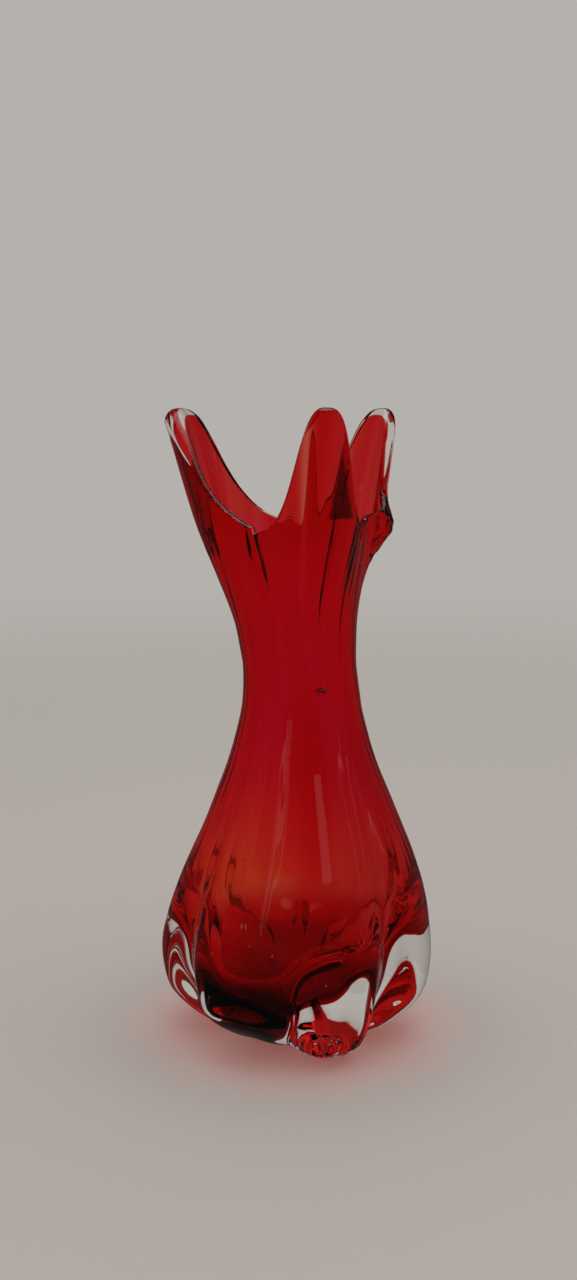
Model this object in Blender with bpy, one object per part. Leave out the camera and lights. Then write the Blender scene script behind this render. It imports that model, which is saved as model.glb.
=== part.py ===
"""Hand blown, cased art glass vase with six foot lobes and three pulled petals on its rim.

Run it with: blender --background --python part.py

The vase is made of two layers of glass and six lobes:
  ruby_inner_vessel   the coloured bubble that holds the flowers, with the inner side of the petals
  clear_casing        the clear gather over it, with the outer side of the petals and the base pad
  foot_lobe_...       six masses of clear glass pulled out of the gather as feet

The frame is in metres with +Z up. The origin is on the table under the middle of the base, and -Y is the
front. An azimuth is in degrees from -Y towards +X. Every wall is lofted from rings that share their azimuths
and heights, so that neighbouring layers keep an even gap.
"""

import math

import bmesh
import bpy

MM = 0.001  # outlines below are written in millimetres

# Driving dimensions
HEIGHT = 250.0
RIM_HEIGHT = 202.5  # the rim's lowest height, in the valleys between the petals
SHOULDER_HEIGHT = 165.0  # above it the rings fan out to the rim
WAIST_HEIGHT = 150.0
LOBE_TOP = 70.0
STEP_HEIGHT = 1.5  # the casing steps out to its full radius over this height above the lobes
GAP = 0.3  # between neighbouring glasses
CASING_WALL = 1.8
LOBE_EDGE = 1.2  # how far the casing lies under the creases between the lobes
RIB_WALL = 2.6  # how much thicker the clear glass is down the back of each petal
RUBY_WALL = 1.7
AZIMUTH_STEPS = 48
LOBE_STEPS = 8

# Outlines as (height, radius)
BODY = [(0, 34), (3, 41), (8, 47), (20, 53.2), (34, 55), (47, 53.2), (60, 49.8), (73, 45),
        (85, 39.9), (98, 34.7), (110, 30), (122, 26.4), (135, 23.6), (150, 22.5)]
PETAL_SPINE = [(150, 22.6), (165, 24.4), (175, 27.2), (185, 31.2), (195, 35.6), (205, 39.6),
               (220, 44.6), (235, 49.6), (250, 55)]
VALLEY_LINE = [(150, 22.4), (165, 23.4), (180, 25.4), (195, 27.2), (205, 28.4), (250, 32)]
RUBY_FOOT = [(6, 22), (9, 27.5), (16, 36), (26, 41.5), (38, 44.2), (50, 44.6), (60, 43.5), (70, 40.9)]
CAVITY_FOOT = [(22, 9), (24, 20), (29, 30), (38, 38), (50, 41.4), (60, 41.2), (70, 39.2)]
# The vase leans a little as it rises: (height, sideways place of its middle)
CENTRE_LINE = [(0, 0.3), (34, -0.4), (60, 1.2), (85, 2.2), (110, 1.8), (135, 1.5), (160, 0),
               (183, -1.3), (250, -1)]
OUTLINE_SHIFT = (0.61, -0.14)  # puts the middle of the whole outline on the origin
# How deep the creases between the lobes are, as (height, share of the radius)
CREASE_DEPTH = [(0, 0.45), (8, 0.33), (20, 0.2), (45, 0.085), (70, 0.05), (100, 0.02), (130, 0)]

# Petals as (azimuth, tip radius, width), and the pinched valleys between them as (azimuth, lip)
PETALS = [(-108, 55.5, 26), (11.5, 55, 17), (131, 52, 19)]
VALLEYS = [(-35, 3), (73, 4), (195, 3)]
HALF_SPAN = 60.0  # an even petal's half span in degrees, on which the widths above are given
VALLEY_RISE = (80, 22, 4.5)  # azimuth, width and height of the stretch of rim that is a little higher
LUMP = (104, 11, 203, 9, 6)  # azimuth, width, height, tallness and size of the lump beside a petal
PETAL_ROUNDNESS = 2.2  # how round a petal is over its crest
PETAL_WIDTH = 40.0  # on an even petal's span, low on the petal
TIP_NARROWING = 8.0  # how much narrower a petal is at its tip
NARROWING_SPAN = (205, 45)  # the height where a petal starts to narrow, and over what rise
FLARE_SPAN = (185, 65)  # the height where a petal bends towards its own tip radius, and over what rise
FLARE_BEND = 1.3
LIP_WIDTH = 7.0
LIP_SPAN = (165, 38)  # the height where the lips start, and over what rise
RIB_WIDTH = 12.0
RIB_SPAN = (200, 25)  # the height where the ribs start, and over what rise

# Lobes as name: (azimuth where its crease starts, how far its toe reaches past the body's outline)
LOBES = {
    "foot_lobe_left": (-129, -6),
    "foot_lobe_front_left": (-58, -12),
    "foot_lobe_front_right": (-3, 2),
    "foot_lobe_right": (43, -8),
    "foot_lobe_back_right": (105, -6),
    "foot_lobe_back_left": (168, -6),
}
TOE_HEIGHT = 22.0
CREASE_SHARPNESS = 3
CREASE_CLEARANCE = 0.5  # in degrees, left on each side of a crease

# Ring heights from the base up
FOOT_RINGS = [0, 3, 8, 16, 26, 38, 50, 60]
RUBY_RINGS = [6, 9, 16, 26, 38, 50, 60, 70]
CAVITY_RINGS = [22, 24, 29, 38, 50, 60, 70]
BODY_RINGS = [85, 98, 110, 122, 135, 150, 165]
RIM_SHARES = [0.25, 0.5, 0.72, 0.88, 1.0]  # of the way from the shoulder to the rim

# Stand-in looks as (colour, roughness)
RUBY_LOOK = ((0.48, 0.012, 0.012), 0.05)
CLEAR_LOOK = ((0.80, 0.81, 0.78), 0.03)
SHARP_ANGLE = 50.0  # edges that turn more than this are shaded sharp


def curve(points, place):
    """A smooth value at a place, through (place, value) points, with no overshoot between them."""
    place = min(max(place, points[0][0]), points[-1][0])
    i = 0
    while i < len(points) - 2 and place > points[i + 1][0]:
        i += 1
    steps = [b[0] - a[0] for a, b in zip(points, points[1:])]
    slopes = [(b[1] - a[1]) / h for a, b, h in zip(points, points[1:], steps)]

    def tangent(k):
        if k == 0:
            return slopes[0]
        if k == len(points) - 1:
            return slopes[-1]
        if slopes[k - 1] * slopes[k] <= 0:
            return 0.0
        before = 2 * steps[k] + steps[k - 1]
        after = steps[k] + 2 * steps[k - 1]
        return (before + after) / (before / slopes[k - 1] + after / slopes[k])

    h = steps[i]
    t = (place - points[i][0]) / h
    start = points[i][1] * (1 + 2 * t) * (1 - t) ** 2 + tangent(i) * h * t * (1 - t) ** 2
    end = points[i + 1][1] * t * t * (3 - 2 * t) + tangent(i + 1) * h * t * t * (t - 1)
    return start + end


def ease(value):
    """0 up to 0, 1 from 1, and a smooth S between."""
    value = min(max(value, 0.0), 1.0)
    return value * value * (3 - 2 * value)


def rise_share(height, span):
    """How far a height is through a span of (start, rise), smoothly from 0 to 1."""
    start, rise = span
    return ease((height - start) / rise)


def turn(angle):
    """An angle in degrees brought between -180 and 180."""
    return (angle + 180) % 360 - 180


def sector(azimuth, crests, hollows):
    """Which crest an azimuth belongs to, and how far it is from it: 0 on the crest, 1 in the hollow."""
    best = (9.0, 0)
    for index, crest in enumerate(crests):
        left = min((crest - hollow) % 360 for hollow in hollows)
        right = min((hollow - crest) % 360 for hollow in hollows)
        offset = turn(azimuth - crest)
        share = -offset / left if offset < 0 else offset / right
        best = min(best, (share, index))
    return best[1], min(best[0], 1.0)


def petal_of(azimuth):
    crests = [petal[0] for petal in PETALS]
    hollows = [valley[0] for valley in VALLEYS]
    return sector(azimuth, crests, hollows)


def lobe_spans():
    """For each lobe: the azimuths of the creases on its two sides."""
    starts = [start for start, toe in LOBES.values()]
    ends = starts[1:] + [starts[0] + 360]
    return list(zip(starts, ends))


def lobe_of(azimuth):
    hollows = [start for start, end in lobe_spans()]
    crests = [(start + end) / 2 for start, end in lobe_spans()]
    return sector(azimuth, crests, hollows)


def rim_height(azimuth):
    petal, share = petal_of(azimuth)
    reach = 1 / (1 + (HALF_SPAN * share / PETALS[petal][2]) ** 3)
    middle, width, rise = VALLEY_RISE
    low = RIM_HEIGHT + rise * math.exp(-((turn(azimuth - middle) / width) ** 2))
    return low + (HEIGHT - low) * reach


def upper_radius(azimuth, height):
    """The outer radius above the waist: petals, valleys with their pinched lips, and the lump."""
    petal, share = petal_of(azimuth)
    valley = curve(VALLEY_LINE, height)
    flare_start, flare_rise = FLARE_SPAN
    bend = min(max((height - flare_start) / flare_rise, 0), 1) ** FLARE_BEND
    spine = curve(PETAL_SPINE, height) + (PETALS[petal][1] - PETAL_SPINE[-1][1]) * bend
    width = PETAL_WIDTH - TIP_NARROWING * rise_share(height, NARROWING_SPAN)
    fall = math.exp(-((HALF_SPAN * share / width) ** PETAL_ROUNDNESS))
    floor = math.exp(-((HALF_SPAN / width) ** PETAL_ROUNDNESS))
    radius = valley + (spine - valley) * (fall - floor) / (1 - floor)
    for place, lip in VALLEYS:
        radius += lip * rise_share(height, LIP_SPAN) * math.exp(-((turn(azimuth - place) / LIP_WIDTH) ** 2))
    place, width, middle, tallness, size = LUMP
    across = turn(azimuth - place) / width
    along = (height - middle) / tallness
    return radius + size * math.exp(-(across**2) - along**2)


def crease_radius(height):
    return curve(BODY, height) * (1 - curve(CREASE_DEPTH, height))


def lower_radius(azimuth, height):
    """The outer radius below the waist, over the crowns and creases of the lobes."""
    lobe, share = lobe_of(azimuth)
    toe = list(LOBES.values())[lobe][1] * (1 - ease(height / TOE_HEIGHT))
    crown = curve(BODY, height) + toe * (1 - share**2)
    return crown - curve(BODY, height) * curve(CREASE_DEPTH, height) * share**CREASE_SHARPNESS


def outer_radius(azimuth, height):
    if height > WAIST_HEIGHT:
        return upper_radius(azimuth, height)
    return lower_radius(azimuth, height)


def casing_radius(azimuth, height):
    """The casing's outer side: under the lobes it is round, and above them it is the vase's outline."""
    if height <= LOBE_TOP:
        return crease_radius(height) - LOBE_EDGE
    return outer_radius(azimuth, height)


def ruby_radius(azimuth, height):
    """The outer side of the coloured glass."""
    if height <= LOBE_TOP:
        return curve(RUBY_FOOT, height)
    share = petal_of(azimuth)[1]
    rib = RIB_WALL * math.exp(-((HALF_SPAN * share / RIB_WIDTH) ** 2)) * rise_share(height, RIB_SPAN)
    return outer_radius(azimuth, height) - CASING_WALL - GAP - rib


def ruby_bed_radius(azimuth, height):
    """The casing's inner side, a gap outside the coloured glass."""
    return ruby_radius(azimuth, height) + GAP


def cavity_radius(azimuth, height):
    if height <= LOBE_TOP:
        return curve(CAVITY_FOOT, height)
    return ruby_radius(azimuth, height) - RUBY_WALL


def place(azimuth, height, radius):
    """A point in metres."""
    angle = math.radians(azimuth)
    x = radius * math.sin(angle) + curve(CENTRE_LINE, height) + OUTLINE_SHIFT[0]
    y = -radius * math.cos(angle) + OUTLINE_SHIFT[1]
    return (x * MM, y * MM, height * MM)


def wall_heights(azimuth, foot_rings):
    """The heights of a wall's rings at one azimuth: level up to the shoulder, then fanned to the rim."""
    rim = rim_height(azimuth)
    fan = [SHOULDER_HEIGHT + share * (rim - SHOULDER_HEIGHT) for share in RIM_SHARES]
    return list(foot_rings) + BODY_RINGS + fan


def ring_azimuths():
    """Even steps from the first petal's crest, which then pass through the other two as well."""
    return [PETALS[0][0] + 360 * k / AZIMUTH_STEPS for k in range(AZIMUTH_STEPS)]


def wall(bm, foot_rings, radius, drop=0.0):
    """The rings of one side of a wall, from the foot up, each a list of vertices."""
    columns = []
    for azimuth in ring_azimuths():
        heights = wall_heights(azimuth, foot_rings)
        spots = [place(azimuth, height, radius(azimuth, height)) for height in heights]
        spots[0] = (spots[0][0], spots[0][1], spots[0][2] - drop * MM)
        columns.append([bm.verts.new(spot) for spot in spots])
    return [list(ring) for ring in zip(*columns)]


def join_rings(bm, lower, upper):
    """Faces between two closed rings, facing out when upper is above lower on an outer side."""
    for k in range(len(lower)):
        after = (k + 1) % len(lower)
        bm.faces.new((lower[k], lower[after], upper[after], upper[k]))


def cap_ring(bm, ring):
    """A fan that closes a ring at its middle."""
    middle = bm.verts.new(
        (
            sum(vert.co.x for vert in ring) / len(ring),
            sum(vert.co.y for vert in ring) / len(ring),
            sum(vert.co.z for vert in ring) / len(ring),
        )
    )
    for k in range(len(ring)):
        bm.faces.new((ring[k], middle, ring[(k + 1) % len(ring)]))


def glass(name, colour, roughness):
    material = bpy.data.materials.new(name)
    material.use_nodes = True
    shader = material.node_tree.nodes["Principled BSDF"]
    shader.inputs["Base Color"].default_value = (*colour, 1)
    shader.inputs["Roughness"].default_value = roughness
    shader.inputs["Metallic"].default_value = 0
    material.diffuse_color = (*colour, 1)
    return material


def finish(name, bm, material):
    """Turns a bmesh into a named object with outward faces and a smooth look."""
    bmesh.ops.recalc_face_normals(bm, faces=bm.faces)
    mesh = bpy.data.meshes.new(name)
    bm.to_mesh(mesh)
    bm.free()
    mesh.materials.append(material)
    mesh.shade_smooth()
    mesh.set_sharp_from_angle(angle=math.radians(SHARP_ANGLE))
    thing = bpy.data.objects.new(name, mesh)
    bpy.context.scene.collection.objects.link(thing)
    return thing


def make_vessel(name, outside, outside_rings, inside, inside_rings, material, bed_drop=0.0):
    """An open vessel: an outer wall with its base, a rim, and an inner wall with its floor."""
    bm = bmesh.new()
    outer = wall(bm, outside_rings, outside)
    inner = wall(bm, inside_rings, inside, bed_drop)
    for rings in (outer, inner):
        for lower, upper in zip(rings, rings[1:]):
            join_rings(bm, lower, upper)
        cap_ring(bm, rings[0])
    join_rings(bm, outer[-1], inner[-1])
    return finish(name, bm, material)


def make_lobe(name, start, end, material):
    """A lobe between two creases, from the table up to the lobe line, over the casing's round foot."""
    bm = bmesh.new()
    heights = FOOT_RINGS + [LOBE_TOP - GAP]
    first = start + CREASE_CLEARANCE
    step = (end - start - 2 * CREASE_CLEARANCE) / LOBE_STEPS
    azimuths = [first + step * k for k in range(LOBE_STEPS + 1)]

    def sheet(radius):
        return [
            [bm.verts.new(place(azimuth, height, radius(azimuth, height))) for azimuth in azimuths]
            for height in heights
        ]

    outer = sheet(outer_radius)
    # The ring polygon of the casing stands inside this arc, so the gap is kept everywhere.
    inner = sheet(lambda azimuth, height: casing_radius(azimuth, height) + GAP)
    for low in range(len(heights) - 1):
        for k in range(LOBE_STEPS):
            for rows in (outer, inner):
                corners = (rows[low][k], rows[low][k + 1], rows[low + 1][k + 1], rows[low + 1][k])
                bm.faces.new(corners)
        for k in (0, LOBE_STEPS):
            bm.faces.new((outer[low][k], outer[low + 1][k], inner[low + 1][k], inner[low][k]))
    for row in (0, -1):
        for k in range(LOBE_STEPS):
            bm.faces.new((outer[row][k], outer[row][k + 1], inner[row][k + 1], inner[row][k]))
    return finish(name, bm, material)


def main():
    for thing in list(bpy.data.objects):
        bpy.data.objects.remove(thing, do_unlink=True)
    ruby = glass("ruby_glass", *RUBY_LOOK)
    clear = glass("clear_glass", *CLEAR_LOOK)
    make_vessel("ruby_inner_vessel", ruby_radius, RUBY_RINGS, cavity_radius, CAVITY_RINGS, ruby)
    casing_rings = FOOT_RINGS + [LOBE_TOP, LOBE_TOP + STEP_HEIGHT]
    make_vessel("clear_casing", casing_radius, casing_rings, ruby_bed_radius, RUBY_RINGS, clear, GAP)
    for name, (start, end) in zip(LOBES, lobe_spans()):
        make_lobe(name, start, end, clear)


main()
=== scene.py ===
"""Hand blown, cased art glass vase: the fine surface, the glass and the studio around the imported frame.

The vase is two nested closed pieces. The crystal body is all the clear glass, from the outer skin over the
rim into the cavity. The ruby layer lies inside it: a thin lining that ends in a small core in the foot, which
the clear glass around it magnifies. An azimuth is in degrees from -Y, the front, towards +X.
"""

import math

import bpy
import numpy as np
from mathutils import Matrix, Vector


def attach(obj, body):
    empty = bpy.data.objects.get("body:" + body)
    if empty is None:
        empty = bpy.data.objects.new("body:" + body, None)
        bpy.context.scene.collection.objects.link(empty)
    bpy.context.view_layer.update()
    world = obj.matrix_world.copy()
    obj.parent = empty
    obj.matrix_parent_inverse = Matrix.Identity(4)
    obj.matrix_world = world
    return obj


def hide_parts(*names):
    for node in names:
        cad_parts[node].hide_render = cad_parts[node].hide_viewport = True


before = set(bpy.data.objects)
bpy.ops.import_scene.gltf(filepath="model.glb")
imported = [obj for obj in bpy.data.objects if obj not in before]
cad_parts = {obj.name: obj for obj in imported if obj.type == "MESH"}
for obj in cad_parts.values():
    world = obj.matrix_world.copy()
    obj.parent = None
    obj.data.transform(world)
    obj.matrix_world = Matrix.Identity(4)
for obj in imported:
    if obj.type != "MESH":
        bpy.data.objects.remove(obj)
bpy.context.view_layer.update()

MM = 0.001  # outlines below are written in millimetres

# Driving dimensions, as in the CAD part
HEIGHT = 250.0
RIM_HEIGHT = 202.5
SHOULDER_HEIGHT = 165.0
WAIST_HEIGHT = 150.0
HALF_SPAN = 60.0  # an even petal's half span in degrees, on which widths across a petal are given
OUTLINE_SHIFT = (0.61, -0.14)
BODY = [(0, 34), (3, 41), (8, 47), (20, 53.2), (34, 55), (47, 53.2), (60, 49.8), (73, 45),
        (85, 39.9), (98, 34.7), (110, 30), (122, 26.4), (135, 23.6), (150, 22.5)]
PETAL_SPINE = [(150, 22.6), (165, 24.4), (175, 27.2), (185, 31.2), (195, 35.6), (205, 39.6),
               (220, 44.6), (235, 49.6), (250, 55)]
VALLEY_LINE = [(150, 22.4), (165, 23.4), (180, 25.4), (195, 27.2), (205, 28.4), (250, 32)]
CENTRE_LINE = [(0, 0.3), (34, -0.4), (60, 1.2), (85, 2.2), (110, 1.8), (135, 1.5), (160, 0),
               (183, -1.3), (250, -1)]
CREASE_DEPTH = [(0, 0.45), (8, 0.33), (20, 0.2), (45, 0.085), (70, 0.05), (100, 0.02), (130, 0)]
PETALS = [(-108, 55.5, 26), (11.5, 55, 17), (131, 52, 19)]  # azimuth, tip radius and width
VALLEYS = [(-35, 1.6, 9), (73, 0.7, 10), (195, 1.6, 9)]  # azimuth, lip and its width
VALLEY_RISE = (80, 22, 4.5)  # azimuth, width and height of the stretch of rim that is a little higher
LUMP = (104, 11, 203, 9, 6)  # azimuth, width, height, tallness and size
PINCH = (-35, 0.5, 3.2, 1.1)  # azimuth at the rim, degrees it drifts a mm down, width and depth
LOBES = [(-129, -6), (-58, -12), (-3, 2), (43, -8), (105, -6), (168, -6)]  # crease azimuth, reach of the toe
TOE_HEIGHT = 22.0
SHALLOW_CREASE = (-3, 18, 0.5)  # azimuth, width and lost share of the depth
CREASE_ROUNDNESS = 2.2
FLARE_BEND = 1.3
PETAL_FULLNESS = 1.1
TIP_NARROWING = 0.27

# Changes that come in as the glass rises, as (start, rise)
FLARE_SPAN = (185, 65)
NARROWING_SPAN = (205, 45)
LIP_SPAN = (172, 31)
PINCH_SPAN = (174, 18)
WAIST_SPAN = (136, 24)  # where the body's outline turns into the petals'

# The layers inside the outline
CASING_WALL = 2.0
RIM_TAPER = 0.9  # how much thinner the clear glass is at the rim
TAPER_SPAN = (180, 30)
RIB_WALLS = [8.0, 1.0, 4.5]  # extra clear glass down the back of each petal
RIB_WIDTH = 18.0
RIB_SPAN = (190, 24)
PETAL_TONES = [0.74, 0.84, 0.66]  # how much of the neck's colour each petal keeps
TONE_SPAN = (185, 25)
TIP_GAPS = [2.2, 0.4, 2.0]  # how far the ruby stops short of each petal's tip
TIP_WIDTH = 22.0
RIM_GAP = 0.5  # clear glass over the ruby all along the rim
# The ruby's wall as (height, thickness)
RUBY_WALL = [(17, 0.8), (28, 0.65), (45, 0.5), (65, 0.5), (85, 0.62), (110, 0.85), (150, 0.95),
             (185, 1.15), (205, 1.6), (250, 1.75)]
LINING = 0.25  # clear glass between the ruby and the cavity
LINING_FADE = (20, 8)
FLOOR_WALL = 2.0  # ruby under the cavity's floor
FLOOR_FADE = 25.0
RUBY_BOTTOM = 17.0
# The ruby's outer side under the creases as (height, radius), and how much further it goes under the crowns
RUBY_FOOT = [(17, 5), (17.4, 9), (19.5, 17), (23, 24), (29, 32), (37, 38.5), (48, 42.2), (60, 42.3), (75, 39)]
RUBY_LOBING = [(17, 0), (25, 0.8), (40, 1.5), (60, 1.5), (80, 1)]
FOOT_SPAN = (45, 35)  # where the core's own shape gives way to the outline's
# Hollows of the core that leave clear toes, and with a minus a swelling, as (azimuth, width, depth, top)
RUBY_DENTS = [(20, 17, 8, 48), (76, 22, 10, 56), (-93, 16, 5, 52), (-33, 25, -7.5, 45)]
DENT_SPAN = (18, 6)
# Where the core's underside hangs lower, and where the floor rises with it, as (azimuth, width, drop)
RUBY_SAGS = [(-33, 26, 8.5)]
FLOOR_SAGS = [(24, 16, -5), (80, 28, -9)]
SAG_REACH = (6, 18)  # from this radius, growing over the next stretch
SAG_FADE = (24, 28)

# Uneven colour in the ruby: bands as (azimuth, width, share of the wall)
BELLY_BANDS = [(8, 12, 0.65), (184, 18, 0.6), (-32, 26, -0.12)]
BELLY_SPAN = (35, 25)
BELLY_FADE = (115, 40)
PETAL_BANDS = [(11, 3, 0.3), (5, 2.5, -0.35)]
PETAL_BAND_SPAN = (165, 20)
NECK_STREAK = (23, 1.9, 0.9, 192, 22)  # azimuth, width, share of the wall, height and tallness
WALL_STREAKS = (0.13, 13, 0.4)  # depth, waves a turn and phase
# A darker tall triangle of colour in the front petal, and the crumb of unmelted colour in the neck
TRIANGLE_MIDDLE = 15.5
TRIANGLE_FOOT = 210.0
TRIANGLE_HEIGHT = 28.0
TRIANGLE_HALF_WIDTH = 4.6
STONE = (9.0, 142.6)

# Marks of making on the outer surface: pulled streaks, and rings left by a tool
STREAKS = (0.07, 17, 1.1)  # depth, waves a turn and phase
STREAK_SPAN = (35, 30)
STREAK_FADE = (100, 50)
STREAK_TWIST = 0.04  # degrees a mm
# The waves of a streak as (weight, times the waves a turn, plus, drift a mm, times the phase)
STREAK_WAVES = [(0.5, 1, 0, 0, 1), (0.3, 2, -3, 0.02, 2), (0.2, 3, 4, -0.03, 5)]
# Rings as (depth, (azimuth, height, mm a degree, pitch, reach))
TOE_CURL = (1.1, (10, 9, 0.8, 5.6, 8.5))
LUMP_CURL = (0.4, (100, 198, 0.5, 4.0, 8))
CURL_SPAN = (0, 4)
# Bubbles in the clear glass as (azimuth, height, depth, half width, half height)
SEEDS = [(-27, 57, 2.0, 0.3, 1.4), (-25, 57, 2.2, 0.25, 1.2), (-22, 50, 3.0, 0.35, 0.35),
         (-40, 44, 4.0, 0.4, 0.4), (-12, 47, 3.5, 0.3, 0.4), (30, 60, 2.5, 0.25, 0.9),
         (58, 38, 5.0, 0.4, 0.4), (96, 52, 3.5, 0.35, 0.5), (150, 41, 4.5, 0.4, 0.5),
         (-150, 55, 3.0, 0.3, 0.6), (-100, 33, 6.0, 0.45, 0.45), (12, 36, 5.0, 0.3, 0.3)]
INCLUSION = [(18.5, 143.6, 1.1, 0.5, 0.35), (20.5, 142.9, 1.2, 0.75, 0.3), (22.5, 143.3, 1.0, 0.4, 0.6),
             (24.5, 142.2, 1.2, 0.6, 0.28), (21, 141.6, 1.1, 0.25, 0.7)]
BUBBLE_RINGS = 5
BUBBLE_SIDES = 10

# Fineness of the meshes
COLUMNS = 400
FOOT_ROUNDING = (0, 0.08, 0.25, 0.5, 0.9, 1.4, 2.0, 2.8, 3.8, 5.0, 6.5)
FOOT_ROUNDING_TOP = 8.3
BASE_SHARES = (0.25, 0.6, 0.85, 0.95)
# Each side as (ring step up to the shoulder, rings in the fan above it)
CRYSTAL_OUTER = (2.0, 44)
CRYSTAL_INNER = (2.9, 36)
RUBY_SIDE = (2.4, 40)

# The colour of the ruby by its share of the vase's height
RUBY_TINTS = [(0.08, (0.6, 0.95, 0.75)), (0.12, (0.78, 1, 0.6)), (0.18, (0.95, 1, 0.45)), (0.3, (1, 1, 0.4)),
              (0.5, (0.95, 0.8, 1)), (0.78, (0.95, 0.85, 0.9)), (0.84, (0.9, 0.95, 0.35))]
CRIMSON = (0.9, 0.75, 1)  # over the tints on the belly's right
DARKER_TINT = (0.22, 0.5, 0.6)  # over the tints in the darker triangle and the crumb

# The studio, in metres and linear colours
BACKDROP = (0.462, 0.445, 0.418)
DARK_SIDE = (0.25, 0.24, 0.23)
MIRRORED = (0.04, 0.039, 0.037)
CEILING = (1.3, 1.25, 1.2)
FLOOR_REACH = 6.0
FLOOR_DROP = 0.0002  # an air gap under the foot, so that light inside the glass turns back from its base
# Panes of the windows that the glass mirrors, as (place, size, watts)
WINDOWS = [((-0.42, -0.78, 0.47), (0.03, 0.5), 0.02),
           ((-0.34, -0.78, 0.45), (0.05, 0.5), 0.03),
           ((-0.25, -0.78, 0.47), (0.02, 0.5), 0.014),
           ((0.28, -0.78, 0.66), (0.13, 0.46), 0.07),
           ((0.72, -0.35, 0.5), (0.02, 0.5), 0.014),
           ((0.8, -0.12, 0.5), (0.03, 0.5), 0.022),
           ((0.76, 0.22, 0.5), (0.03, 0.5), 0.022)]
CAMERA_PLACE = (-0.0031, -0.5451, 0.2485)
CAMERA_TILT = 9.3
LENS = 39.2
SENSOR_HEIGHT = 36.0
BOUNCES = 96  # light turns many times inside the thick foot before it leaves


def curve(points, place):
    """Smooth values at places, through (place, value) points, with no overshoot between them."""
    xs = np.array([p[0] for p in points], float)
    ys = np.array([p[1] for p in points], float)
    steps = np.diff(xs)
    slopes = np.diff(ys) / steps
    tangents = np.zeros(len(xs))
    tangents[0] = slopes[0]
    tangents[-1] = slopes[-1]
    for k in range(1, len(xs) - 1):
        if slopes[k - 1] * slopes[k] > 0:
            before = 2 * steps[k] + steps[k - 1]
            after = steps[k] + 2 * steps[k - 1]
            tangents[k] = (before + after) / (before / slopes[k - 1] + after / slopes[k])
    place = np.clip(place, xs[0], xs[-1])
    i = np.clip(np.searchsorted(xs, place) - 1, 0, len(xs) - 2)
    h = steps[i]
    t = (place - xs[i]) / h
    start = ys[i] * (1 + 2 * t) * (1 - t) ** 2 + tangents[i] * h * t * (1 - t) ** 2
    end = ys[i + 1] * t * t * (3 - 2 * t) + tangents[i + 1] * h * t * t * (t - 1)
    return start + end


def ease(value):
    """0 up to 0, 1 from 1, and a smooth S between."""
    value = np.clip(value, 0, 1)
    return value * value * (3 - 2 * value)


def through(value, span):
    """How far a value is through a (start, rise) span, smoothly from 0 to 1."""
    start, rise = span
    return ease((value - start) / rise)


def turn(angle):
    """An angle in degrees brought between -180 and 180."""
    return (angle + 180) % 360 - 180


def hump(value, middle, width):
    """A smooth bump of height 1 around the middle."""
    return np.exp(-(((value - middle) / width) ** 2))


def humps(azimuth, bands):
    """The sum of bumps round the vase, given as (azimuth, width, size)."""
    return sum(size * hump(turn(azimuth - place), 0, width) for place, width, size in bands)


def sector(azimuth, crests, hollows):
    """Which crest each azimuth belongs to, and how far it is from it: 0 on the crest, 1 in the hollow."""
    best = np.full(azimuth.shape, 9.0)
    owner = np.zeros(azimuth.shape, int)
    for index, crest in enumerate(crests):
        left = min((crest - hollow) % 360 for hollow in hollows)
        right = min((hollow - crest) % 360 for hollow in hollows)
        offset = turn(azimuth - crest)
        share = np.where(offset < 0, -offset / left, offset / right)
        nearer = share < best
        best = np.where(nearer, share, best)
        owner = np.where(nearer, index, owner)
    return owner, np.minimum(best, 1.0)


def petal_of(azimuth):
    return sector(azimuth, [petal[0] for petal in PETALS], [valley[0] for valley in VALLEYS])


def lobe_of(azimuth):
    hollows = [start for start, toe in LOBES]
    ends = hollows[1:] + [hollows[0] + 360]
    crests = [(start + end) / 2 for start, end in zip(hollows, ends)]
    return sector(azimuth, crests, hollows)


def of_each(values, owner):
    """The value that belongs to each azimuth's petal or lobe."""
    return np.array(values, float)[owner]


def rim_height(azimuth):
    petal, share = petal_of(azimuth)
    widths = of_each([width for place, tip, width in PETALS], petal)
    reach = 1 / (1 + (HALF_SPAN * share / widths) ** 3)
    low = RIM_HEIGHT + humps(azimuth, [VALLEY_RISE])
    return low + (HEIGHT - low) * reach


def upper_radius(azimuth, height):
    """The outer radius above the waist: petals, valleys with their lips, the pinch and the lump."""
    petal, share = petal_of(azimuth)
    tips = of_each([tip for place, tip, width in PETALS], petal)
    flare_start, flare_rise = FLARE_SPAN
    bend = np.clip((height - flare_start) / flare_rise, 0, 1) ** FLARE_BEND
    spine = curve(PETAL_SPINE, height) + (tips - PETAL_SPINE[-1][1]) * bend
    valley = curve(VALLEY_LINE, height)
    fullness = PETAL_FULLNESS - TIP_NARROWING * through(height, NARROWING_SPAN)
    radius = valley + (spine - valley) * (1 + np.cos(math.pi * share**fullness)) / 2
    for place, lip, width in VALLEYS:
        radius = radius + lip * through(height, LIP_SPAN) * hump(turn(azimuth - place), 0, width)
    place, drift, width, depth = PINCH
    line = turn(azimuth - place - drift * (RIM_HEIGHT - height))
    radius = radius - depth * hump(line, 0, width) * through(height, PINCH_SPAN)
    place, width, middle, tallness, size = LUMP
    return radius + size * hump(turn(azimuth - place), 0, width) * hump(height, middle, tallness)


def crease_form(share):
    """0 on a lobe's crown and 1 in its crease, round at both ends."""
    return (1 - np.cos(math.pi * share**CREASE_ROUNDNESS)) / 2


def lower_radius(azimuth, height):
    """The outer radius below the waist, over the crowns and creases of the lobes."""
    lobe, share = lobe_of(azimuth)
    toe = of_each([reach for start, reach in LOBES], lobe) * (1 - ease(height / TOE_HEIGHT))
    body = curve(BODY, height)
    crease = curve(CREASE_DEPTH, height) * crease_form(share) * (1 - humps(azimuth, [SHALLOW_CREASE]))
    return body + toe * (1 - share**2) - body * crease


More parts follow.
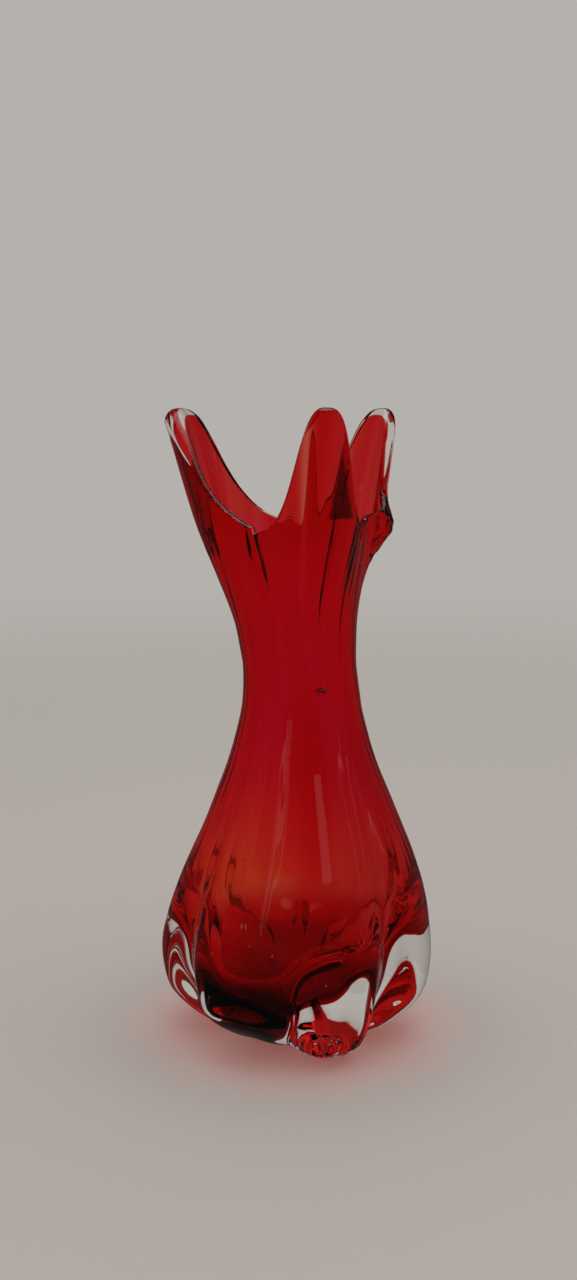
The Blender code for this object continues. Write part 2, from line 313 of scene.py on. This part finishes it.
def streaks(azimuth, height, turns, phase):
    """Uneven vertical waves from the pulling of the glass, between about -1 and 1."""
    angle = np.radians(azimuth + STREAK_TWIST * height)
    return sum(weight * np.sin((times * turns + plus) * angle + drift * height + phases * phase)
               for weight, times, plus, drift, phases in STREAK_WAVES)


def curl(azimuth, height, mark):
    """Rings of a tool mark around a place on the surface."""
    depth, (middle, level, scale, pitch, reach) = mark
    distance = np.hypot(turn(azimuth - middle) * scale, height - level)
    return depth * np.cos(2 * math.pi * distance / pitch) * np.exp(-((distance / reach) ** 2))


def outer_radius(azimuth, height):
    low = lower_radius(azimuth, np.minimum(height, WAIST_HEIGHT))
    high = upper_radius(azimuth, np.maximum(height, WAIST_HEIGHT))
    depth, turns, phase = STREAKS
    belly = through(height, STREAK_SPAN) * (1 - through(height, STREAK_FADE))
    pulled = depth * streaks(azimuth, height, turns, phase) * belly
    marks = (curl(azimuth, height, TOE_CURL) + curl(azimuth, height, LUMP_CURL)) * through(height, CURL_SPAN)
    return low + (high - low) * through(height, WAIST_SPAN) + pulled + marks


def ruby_outer_radius(azimuth, height):
    """A clear casing inside the outline, down to the core of the foot, which has a shape of its own."""
    petal, share = petal_of(azimuth)
    rib = of_each(RIB_WALLS, petal) * hump(HALF_SPAN * share, 0, RIB_WIDTH) * through(height, RIB_SPAN)
    casing = CASING_WALL - RIM_TAPER * through(height, TAPER_SPAN) + rib
    thin = outer_radius(azimuth, height) - casing
    crown = 1 - crease_form(lobe_of(azimuth)[1])
    foot = curve(RUBY_FOOT, height) + curve(RUBY_LOBING, height) * crown
    full = sum(DENT_SPAN)
    for place, width, depth, top in RUBY_DENTS:
        level = through(height, DENT_SPAN) * (1 - through(height, (full, top - full)))
        foot = foot - depth * level * hump(turn(azimuth - place), 0, width)
    return foot + (thin - foot) * through(height, FOOT_SPAN)


def ruby_wall(azimuth, height):
    """Thinner on the front left of the belly and in the petals, thicker in bands down the middle."""
    petal, share = petal_of(azimuth)
    belly = through(height, BELLY_SPAN) * (1 - through(height, BELLY_FADE)) * humps(azimuth, BELLY_BANDS)
    depth, turns, phase = WALL_STREAKS
    uneven = depth * streaks(azimuth, height, turns, phase)
    thinned = (1 - of_each(PETAL_TONES, petal)) * through(height, TONE_SPAN) * (1 - share**4)
    place, width, size, middle, tallness = NECK_STREAK
    neck = size * hump(turn(azimuth - place), 0, width) * hump(height, middle, tallness)
    pulled = through(height, PETAL_BAND_SPAN) * humps(azimuth, PETAL_BANDS) + neck
    return curve(RUBY_WALL, height) * (1 + belly + uneven - thinned + pulled)


def cavity_radius(azimuth, height):
    """The ruby's outer side brought in by its wall, and raised by its floor."""
    floor = (RUBY_BOTTOM + FLOOR_WALL, FLOOR_FADE)
    raised = height - FLOOR_WALL * (1 - through(height, floor))
    return ruby_outer_radius(azimuth, raised) - ruby_wall(azimuth, height) - LINING


def ruby_inner_radius(azimuth, height):
    return cavity_radius(azimuth, height) + LINING


def spot(azimuth, height, radius):
    """Points in millimetres."""
    angle = np.radians(azimuth)
    x = radius * np.sin(angle) + curve(CENTRE_LINE, height) + OUTLINE_SHIFT[0]
    y = -radius * np.cos(angle) + OUTLINE_SHIFT[1]
    return np.stack([x, y, np.broadcast_to(height, x.shape)], -1)


def bubble(place, first):
    """Points and faces of a closed void in the glass, its faces turned towards the air inside."""
    azimuth, height, depth, half_width, half_height = (np.array([value]) for value in place)
    middle = spot(azimuth, height, outer_radius(azimuth, height) - depth)[0]
    size = np.array([half_width[0], half_width[0], half_height[0]])
    points = [middle - size * (0, 0, 1)]
    for ring in range(1, BUBBLE_RINGS + 1):
        slope = math.pi * ring / (BUBBLE_RINGS + 1)
        for k in range(BUBBLE_SIDES):
            angle = 2 * math.pi * k / BUBBLE_SIDES
            reach = math.sin(slope)
            around = (reach * math.cos(angle), reach * math.sin(angle), -math.cos(slope))
            points.append(middle + size * around)
    points.append(middle + size * (0, 0, 1))
    top = first + len(points) - 1
    faces = []
    for k in range(BUBBLE_SIDES):
        after = (k + 1) % BUBBLE_SIDES
        faces.append((first, first + 1 + k, first + 1 + after))
        faces.append((top, top - BUBBLE_SIDES + after, top - BUBBLE_SIDES + k))
        for ring in range(BUBBLE_RINGS - 1):
            low = first + 1 + BUBBLE_SIDES * ring
            high = low + BUBBLE_SIDES
            faces.append((low + k, high + k, high + after, low + after))
    return points, faces


def loft(name, rings, voids=()):
    """A closed smooth mesh from rings of points, with a middle point at each end."""
    rings = np.array(rings)
    count, columns = rings.shape[:2]
    points = [rings[0].mean(0), *rings.reshape(-1, 3), rings[-1].mean(0)]
    last = len(points) - 1
    top = 1 + (count - 1) * columns
    faces = []
    for k in range(columns):
        after = (k + 1) % columns
        faces.append((0, 1 + after, 1 + k))
        faces.append((last, top + k, top + after))
    k = np.arange(columns)
    after = (k + 1) % columns
    for row in range(count - 1):
        low = 1 + row * columns
        high = low + columns
        faces.extend(np.stack([low + k, low + after, high + after, high + k], 1).tolist())
    for place in voids:
        void_points, void_faces = bubble(place, len(points))
        points.extend(void_points)
        faces.extend(void_faces)
    mesh = bpy.data.meshes.new(name)
    mesh.from_pydata((np.array(points) * MM).tolist(), [], faces)
    mesh.shade_smooth()
    mesh.validate()
    piece = bpy.data.objects.new(name, mesh)
    bpy.context.scene.collection.objects.link(piece)
    return piece


def sagging(azimuth, height, radius, sags):
    """How far a foot hangs lower, growing out from its middle and fading as it rises."""
    return through(radius, SAG_REACH) * (1 - through(height, SAG_FADE)) * humps(azimuth, sags)


def foot_heights(start, step):
    """Ring heights of a foot that rounds out of a flat bottom, then evenly up to the shoulder."""
    first = start + FOOT_ROUNDING_TOP
    count = int(round((SHOULDER_HEIGHT - first) / step)) + 1
    return [start + rise for rise in FOOT_ROUNDING] + list(np.linspace(first, SHOULDER_HEIGHT, count))


def wall_rings(radius, bottom, fineness, drop, sags=()):
    """Rings of one side of a wall: level up to the shoulder, then fanned to the rim less the drop."""
    step, fan = fineness
    azimuth = np.arange(COLUMNS) * 360 / COLUMNS + PETALS[0][0]
    rings = []
    for level in foot_heights(bottom, step):
        height = np.full(COLUMNS, float(level))
        reach = radius(azimuth, height)
        rings.append(spot(azimuth, height - sagging(azimuth, height, reach, sags), reach))
    top = rim_height(azimuth) - drop(azimuth)
    for share in np.linspace(0, 1, fan)[1:]:
        height = SHOULDER_HEIGHT + share * (top - SHOULDER_HEIGHT)
        rings.append(spot(azimuth, height, radius(azimuth, height)))
    return rings


def rounded_rim(outer, inner, steps):
    """Half round rings over the rim from the outer wall's last ring to the inner wall's."""
    middle = (outer + inner) / 2
    half = (outer - inner) / 2
    rise = np.linalg.norm(half, axis=1, keepdims=True) * np.array([[0, 0, 1.0]])
    angles = np.linspace(0, math.pi, steps + 2)[1:-1]
    return [middle + half * math.cos(a) + rise * math.sin(a) for a in angles]


def make_crystal():
    """The clear body: outer surface, round rim and cavity, as one closed skin."""

    def drop(azimuth):
        """Room under the rim for its half round edge."""
        top = rim_height(azimuth)
        return (outer_radius(azimuth, top) - cavity_radius(azimuth, top)) / 2

    outer = wall_rings(outer_radius, 0, CRYSTAL_OUTER, drop)
    inner = wall_rings(cavity_radius, RUBY_BOTTOM + FLOOR_WALL, CRYSTAL_INNER, drop, FLOOR_SAGS)
    rim = rounded_rim(outer[-1], inner[-1], 7)
    base = [outer[0] * np.array([share, share, 1]) for share in BASE_SHARES]
    return loft("crystal_body", base + outer + rim + inner[::-1], SEEDS + INCLUSION)


def make_ruby():
    """The coloured layer and its core in the foot, as one closed skin inside the clear body."""

    def drop(azimuth):
        petal, share = petal_of(azimuth)
        gap = RIM_GAP + of_each(TIP_GAPS, petal) * hump(HALF_SPAN * share, 0, TIP_WIDTH)
        return RUBY_WALL[-1][1] / 2 + gap

    outer = wall_rings(ruby_outer_radius, RUBY_BOTTOM, RUBY_SIDE, drop, RUBY_SAGS + FLOOR_SAGS)
    inner = wall_rings(ruby_inner_radius, RUBY_BOTTOM + FLOOR_WALL, RUBY_SIDE, drop, FLOOR_SAGS)
    for ring in inner:
        ring[:, 2] -= LINING * (1 - through(ring[:, 2], LINING_FADE))
    rim = rounded_rim(outer[-1], inner[-1], 5)
    return loft("ruby_layer", outer + rim + inner[::-1])


def new_material(name):
    material = bpy.data.materials.new(name)
    material.use_nodes = True
    tree = material.node_tree
    tree.nodes.clear()
    output = tree.nodes.new("ShaderNodeOutputMaterial")
    shader = tree.nodes.new("ShaderNodeBsdfPrincipled")
    tree.links.new(shader.outputs["BSDF"], output.inputs["Surface"])
    return material, tree, shader, output


def set_inputs(node, **values):
    """Plain values for a node's inputs, by their names with underscores for spaces."""
    for name, value in values.items():
        node.inputs[name.replace("_", " ")].default_value = value


def calculate(tree, operation, *values):
    """The socket of a maths node, from numbers or other nodes' sockets."""
    node = tree.nodes.new("ShaderNodeMath")
    node.operation = operation
    for k, value in enumerate(values):
        if isinstance(value, (int, float)):
            node.inputs[k].default_value = value
        else:
            tree.links.new(value, node.inputs[k])
    return node.outputs[0]


def fade(tree, value, start, end, low=0.0, high=1.0, course="SMOOTHSTEP"):
    """A socket that goes from low before the start to high past the end."""
    node = tree.nodes.new("ShaderNodeMapRange")
    node.interpolation_type = course
    set_inputs(node, From_Min=start, From_Max=end, To_Min=low, To_Max=high)
    tree.links.new(value, node.inputs["Value"])
    return node.outputs["Result"]


def noise(tree, vector, scale, detail):
    node = tree.nodes.new("ShaderNodeTexNoise")
    set_inputs(node, Scale=scale, Detail=detail)
    tree.links.new(vector, node.inputs["Vector"])
    return node.outputs["Fac"]


def colour_ramp(tree, value, stops):
    """The socket of a ramp through (place, colour) stops."""
    node = tree.nodes.new("ShaderNodeValToRGB")
    for place, colour in stops[2:]:
        node.color_ramp.elements.new(place)
    for element, (place, colour) in zip(node.color_ramp.elements, stops):
        element.position = place
        element.color = (*colour, 1)
    tree.links.new(value, node.inputs["Fac"])
    return node.outputs["Color"]


def mix_colours(tree, blend, share, first, second):
    """The socket of a colour mix, from plain colours or other nodes' sockets."""
    node = tree.nodes.new("ShaderNodeMix")
    node.data_type = "RGBA"
    node.blend_type = blend
    tree.links.new(share, node.inputs[0])
    for colour, socket in zip((first, second), (s for s in node.inputs if s.type == "RGBA")):
        if isinstance(colour, tuple):
            socket.default_value = (*colour, 1)
        else:
            tree.links.new(colour, socket)
    return next(socket for socket in node.outputs if socket.type == "RGBA")


def mix_shaders(tree, share, first, second):
    node = tree.nodes.new("ShaderNodeMixShader")
    tree.links.new(share, node.inputs["Fac"])
    tree.links.new(first, node.inputs[1])
    tree.links.new(second, node.inputs[2])
    return node.outputs["Shader"]


def emission(tree, colour):
    node = tree.nodes.new("ShaderNodeEmission")
    node.inputs["Color"].default_value = (*colour, 1)
    return node.outputs["Emission"]


def crystal_material():
    """Clear glass, faintly drawn upwards, with patches of wiping haze."""
    material, tree, shader, output = new_material("clear_crystal")
    set_inputs(shader, Base_Color=(0.99, 0.995, 0.985, 1), Transmission_Weight=1.0, IOR=1.5)
    coordinates = tree.nodes.new("ShaderNodeTexCoord")
    stretch = tree.nodes.new("ShaderNodeMapping")
    set_inputs(stretch, Scale=(1, 1, 0.16))
    tree.links.new(coordinates.outputs["Object"], stretch.inputs["Vector"])
    bump = tree.nodes.new("ShaderNodeBump")
    set_inputs(bump, Strength=0.5, Distance=0.00006)
    tree.links.new(noise(tree, stretch.outputs["Vector"], 170.0, 2.0), bump.inputs["Height"])
    tree.links.new(bump.outputs["Normal"], shader.inputs["Normal"])
    dust = noise(tree, coordinates.outputs["Object"], 90.0, 4.0)
    haze = fade(tree, dust, 0.45, 0.75, high=0.03, course="LINEAR")
    tree.links.new(haze, shader.inputs["Roughness"])
    return material


def darker_triangle_mask(tree, split):
    """A tall triangle with a level foot in the front petal, where the colour is darker."""
    across, depth, height = (split.outputs[axis] for axis in "XYZ")
    offset = calculate(tree, "ABSOLUTE", calculate(tree, "SUBTRACT", across, TRIANGLE_MIDDLE * MM))
    rise = calculate(tree, "SUBTRACT", height, TRIANGLE_FOOT * MM)
    lost = calculate(tree, "MULTIPLY", rise, TRIANGLE_HALF_WIDTH / TRIANGLE_HEIGHT)
    half = calculate(tree, "SUBTRACT", TRIANGLE_HALF_WIDTH * MM, lost)
    inside = fade(tree, calculate(tree, "SUBTRACT", half, offset), -0.4 * MM, 1.2 * MM)
    above = fade(tree, rise, -0.6 * MM, 0.6 * MM)
    front = calculate(tree, "LESS_THAN", depth, -20 * MM)
    return calculate(tree, "MULTIPLY", calculate(tree, "MULTIPLY", inside, above), front)


def stone_mask(tree, coordinates, split):
    """A crumb of unmelted colour in the front of the neck, ragged like a small crack."""
    across, depth, height = (split.outputs[axis] for axis in "XYZ")
    aside = calculate(tree, "MULTIPLY", calculate(tree, "SUBTRACT", across, STONE[0] * MM), 0.6)
    rise = calculate(tree, "SUBTRACT", height, STONE[1] * MM)
    squares = [calculate(tree, "MULTIPLY", value, value) for value in (aside, rise)]
    distance = calculate(tree, "SQRT", calculate(tree, "ADD", *squares))
    near = calculate(tree, "SUBTRACT", 1, fade(tree, distance, 0.4 * MM, 2.4 * MM))
    grain = noise(tree, coordinates.outputs["Object"], 700.0, 3.0)
    ragged = fade(tree, calculate(tree, "ADD", grain, calculate(tree, "MULTIPLY", near, 0.35)), 0.66, 0.74)
    front = calculate(tree, "LESS_THAN", depth, -10 * MM)
    return calculate(tree, "MULTIPLY", calculate(tree, "MULTIPLY", near, ragged), front)


def ruby_material():
    """Red glass that colours light by how far it goes through it, tinted by height where it passes a side."""
    material, tree, shader, output = new_material("ruby_glass")
    set_inputs(shader, Roughness=0.0, Transmission_Weight=1.0, IOR=1.0)
    coordinates = tree.nodes.new("ShaderNodeTexCoord")
    split = tree.nodes.new("ShaderNodeSeparateXYZ")
    tree.links.new(coordinates.outputs["Object"], split.inputs["Vector"])
    tints = colour_ramp(tree, fade(tree, split.outputs["Z"], 0, HEIGHT * MM, course="LINEAR"), RUBY_TINTS)
    side = fade(tree, split.outputs["X"], -4 * MM, 32 * MM)
    low = calculate(tree, "SUBTRACT", 1, fade(tree, split.outputs["Z"], 110 * MM, 150 * MM))
    crimson = mix_colours(tree, "MULTIPLY", calculate(tree, "MULTIPLY", side, low), tints, CRIMSON)
    stone = calculate(tree, "MULTIPLY", stone_mask(tree, coordinates, split), 0.9)
    # darker colour in the front petal's triangle and in the crumb, multiplied over the tints
    darker = calculate(tree, "MAXIMUM", darker_triangle_mask(tree, split), stone)
    tree.links.new(mix_colours(tree, "MULTIPLY", darker, crimson, DARKER_TINT), shader.inputs["Base Color"])
    volume = tree.nodes.new("ShaderNodeVolumeAbsorption")
    set_inputs(volume, Color=(0.965, 0.04, 0.3, 1), Density=3000.0)
    tree.links.new(volume.outputs["Volume"], output.inputs["Volume"])
    return material


def mirror_ray(tree, path):
    """1 for rays mirrored off a glossy surface, and 0 for scattered, refracted and camera rays."""
    return calculate(tree, "MULTIPLY", path.outputs["Is Reflection Ray"], path.outputs["Is Glossy Ray"])


def floor_material():
    """Pale, with a painted red glow round the foot in place of light through the vase, fading into the
    backdrop, and dim in mirrored rays.
    """
    material, tree, shader, output = new_material("pale_floor")
    set_inputs(shader, Base_Color=(0.86, 0.82, 0.80, 1), Roughness=0.55, Specular_IOR_Level=0.2)
    coordinates = tree.nodes.new("ShaderNodeTexCoord")
    length = tree.nodes.new("ShaderNodeVectorMath")
    length.operation = "LENGTH"
    tree.links.new(coordinates.outputs["Object"], length.inputs[0])
    distance = length.outputs["Value"]
    # painted red glow: emission on the floor near the foot stands in for the red light let through by the
    # vase
    set_inputs(shader, Emission_Color=(1, 0.22, 0.17, 1))
    tree.links.new(fade(tree, distance, 0.038, 0.08, 0.16, 0.0), shader.inputs["Emission Strength"])
    far = fade(tree, distance, 0.25, 1.6, course="SMOOTHERSTEP")
    lit = mix_shaders(tree, far, shader.outputs["BSDF"], emission(tree, BACKDROP))
    path = tree.nodes.new("ShaderNodeLightPath")
    seen = mix_shaders(tree, mirror_ray(tree, path), lit, emission(tree, MIRRORED))
    tree.links.new(seen, output.inputs["Surface"])
    return material


def make_floor():
    mesh = bpy.data.meshes.new("floor")
    corners = [(x * FLOOR_REACH, y * FLOOR_REACH, 0) for x, y in ((-1, -1), (1, -1), (1, 1), (-1, 1))]
    mesh.from_pydata(corners, [], [(0, 1, 2, 3)])
    floor = bpy.data.objects.new("floor", mesh)
    floor.location.z = -FLOOR_DROP
    bpy.context.scene.collection.objects.link(floor)
    mesh.materials.append(floor_material())


def make_world():
    """A pale backdrop all round, with a dim room on the viewer's side, and dim in mirrored rays."""
    world = bpy.data.worlds.new("studio")
    bpy.context.scene.world = world
    world.use_nodes = True
    tree = world.node_tree
    tree.nodes.clear()
    output = tree.nodes.new("ShaderNodeOutputWorld")
    background = tree.nodes.new("ShaderNodeBackground")
    coordinates = tree.nodes.new("ShaderNodeTexCoord")
    path = tree.nodes.new("ShaderNodeLightPath")
    facing = tree.nodes.new("ShaderNodeVectorMath")
    facing.operation = "DOT_PRODUCT"
    facing.inputs[1].default_value = (0, -0.95, 0.1)
    tree.links.new(coordinates.outputs["Generated"], facing.inputs[0])
    upwards = tree.nodes.new("ShaderNodeSeparateXYZ")
    tree.links.new(coordinates.outputs["Generated"], upwards.inputs["Vector"])
    room = colour_ramp(tree, facing.outputs["Value"], [(0.35, BACKDROP), (0.85, DARK_SIDE)])
    ceiling = colour_ramp(tree, upwards.outputs["Z"], [(0.78, MIRRORED), (0.93, CEILING)])
    lighting = mix_colours(tree, "MIX", mirror_ray(tree, path), room, ceiling)
    seen = mix_colours(tree, "MIX", path.outputs["Is Camera Ray"], lighting, BACKDROP)
    tree.links.new(seen, background.inputs["Color"])
    tree.links.new(background.outputs["Background"], output.inputs["Surface"])


def make_light(name, place, target, size, power, colour):
    data = bpy.data.lights.new(name, "AREA")
    data.shape = "RECTANGLE"
    data.size, data.size_y = size
    data.energy = power
    data.color = colour
    light = bpy.data.objects.new(name, data)
    light.visible_camera = False
    light.location = place
    light.rotation_euler = (Vector(target) - Vector(place)).to_track_quat("-Z", "Y").to_euler()
    bpy.context.scene.collection.objects.link(light)
    return light


def make_lights():
    make_light("overhead", (0.1, 0.1, 1.1), (0, 0, 0), (1.2, 1.2), 2.0, (1, 0.97, 0.93))
    for place, size, power in WINDOWS:
        pane = make_light("window", place, (0, 0, 0.1), size, power, (1, 0.98, 0.95))
        pane.visible_diffuse = False
        pane.visible_transmission = False


def make_camera():
    data = bpy.data.cameras.new("camera")
    data.sensor_fit = "VERTICAL"
    data.sensor_height = SENSOR_HEIGHT
    data.lens = LENS
    data.clip_start = 0.01
    camera = bpy.data.objects.new("camera", data)
    camera.location = CAMERA_PLACE
    camera.rotation_euler = (math.radians(90 - CAMERA_TILT), 0, 0)
    bpy.context.scene.collection.objects.link(camera)
    bpy.context.scene.camera = camera


make_camera()
make_world()
make_floor()
make_lights()

crystal = make_crystal()
crystal.data.materials.append(crystal_material())
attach(crystal, "root")
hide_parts("clear_casing", "foot_lobe_left", "foot_lobe_front_left", "foot_lobe_front_right",
            "foot_lobe_right", "foot_lobe_back_right", "foot_lobe_back_left")

ruby = make_ruby()
ruby.data.materials.append(ruby_material())
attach(ruby, "root")
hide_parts("ruby_inner_vessel")

bpy.context.scene.view_settings.view_transform = "Standard"
bpy.context.scene.cycles.max_bounces = BOUNCES
bpy.context.scene.cycles.transmission_bounces = BOUNCES
bpy.context.scene.cycles.glossy_bounces = BOUNCES
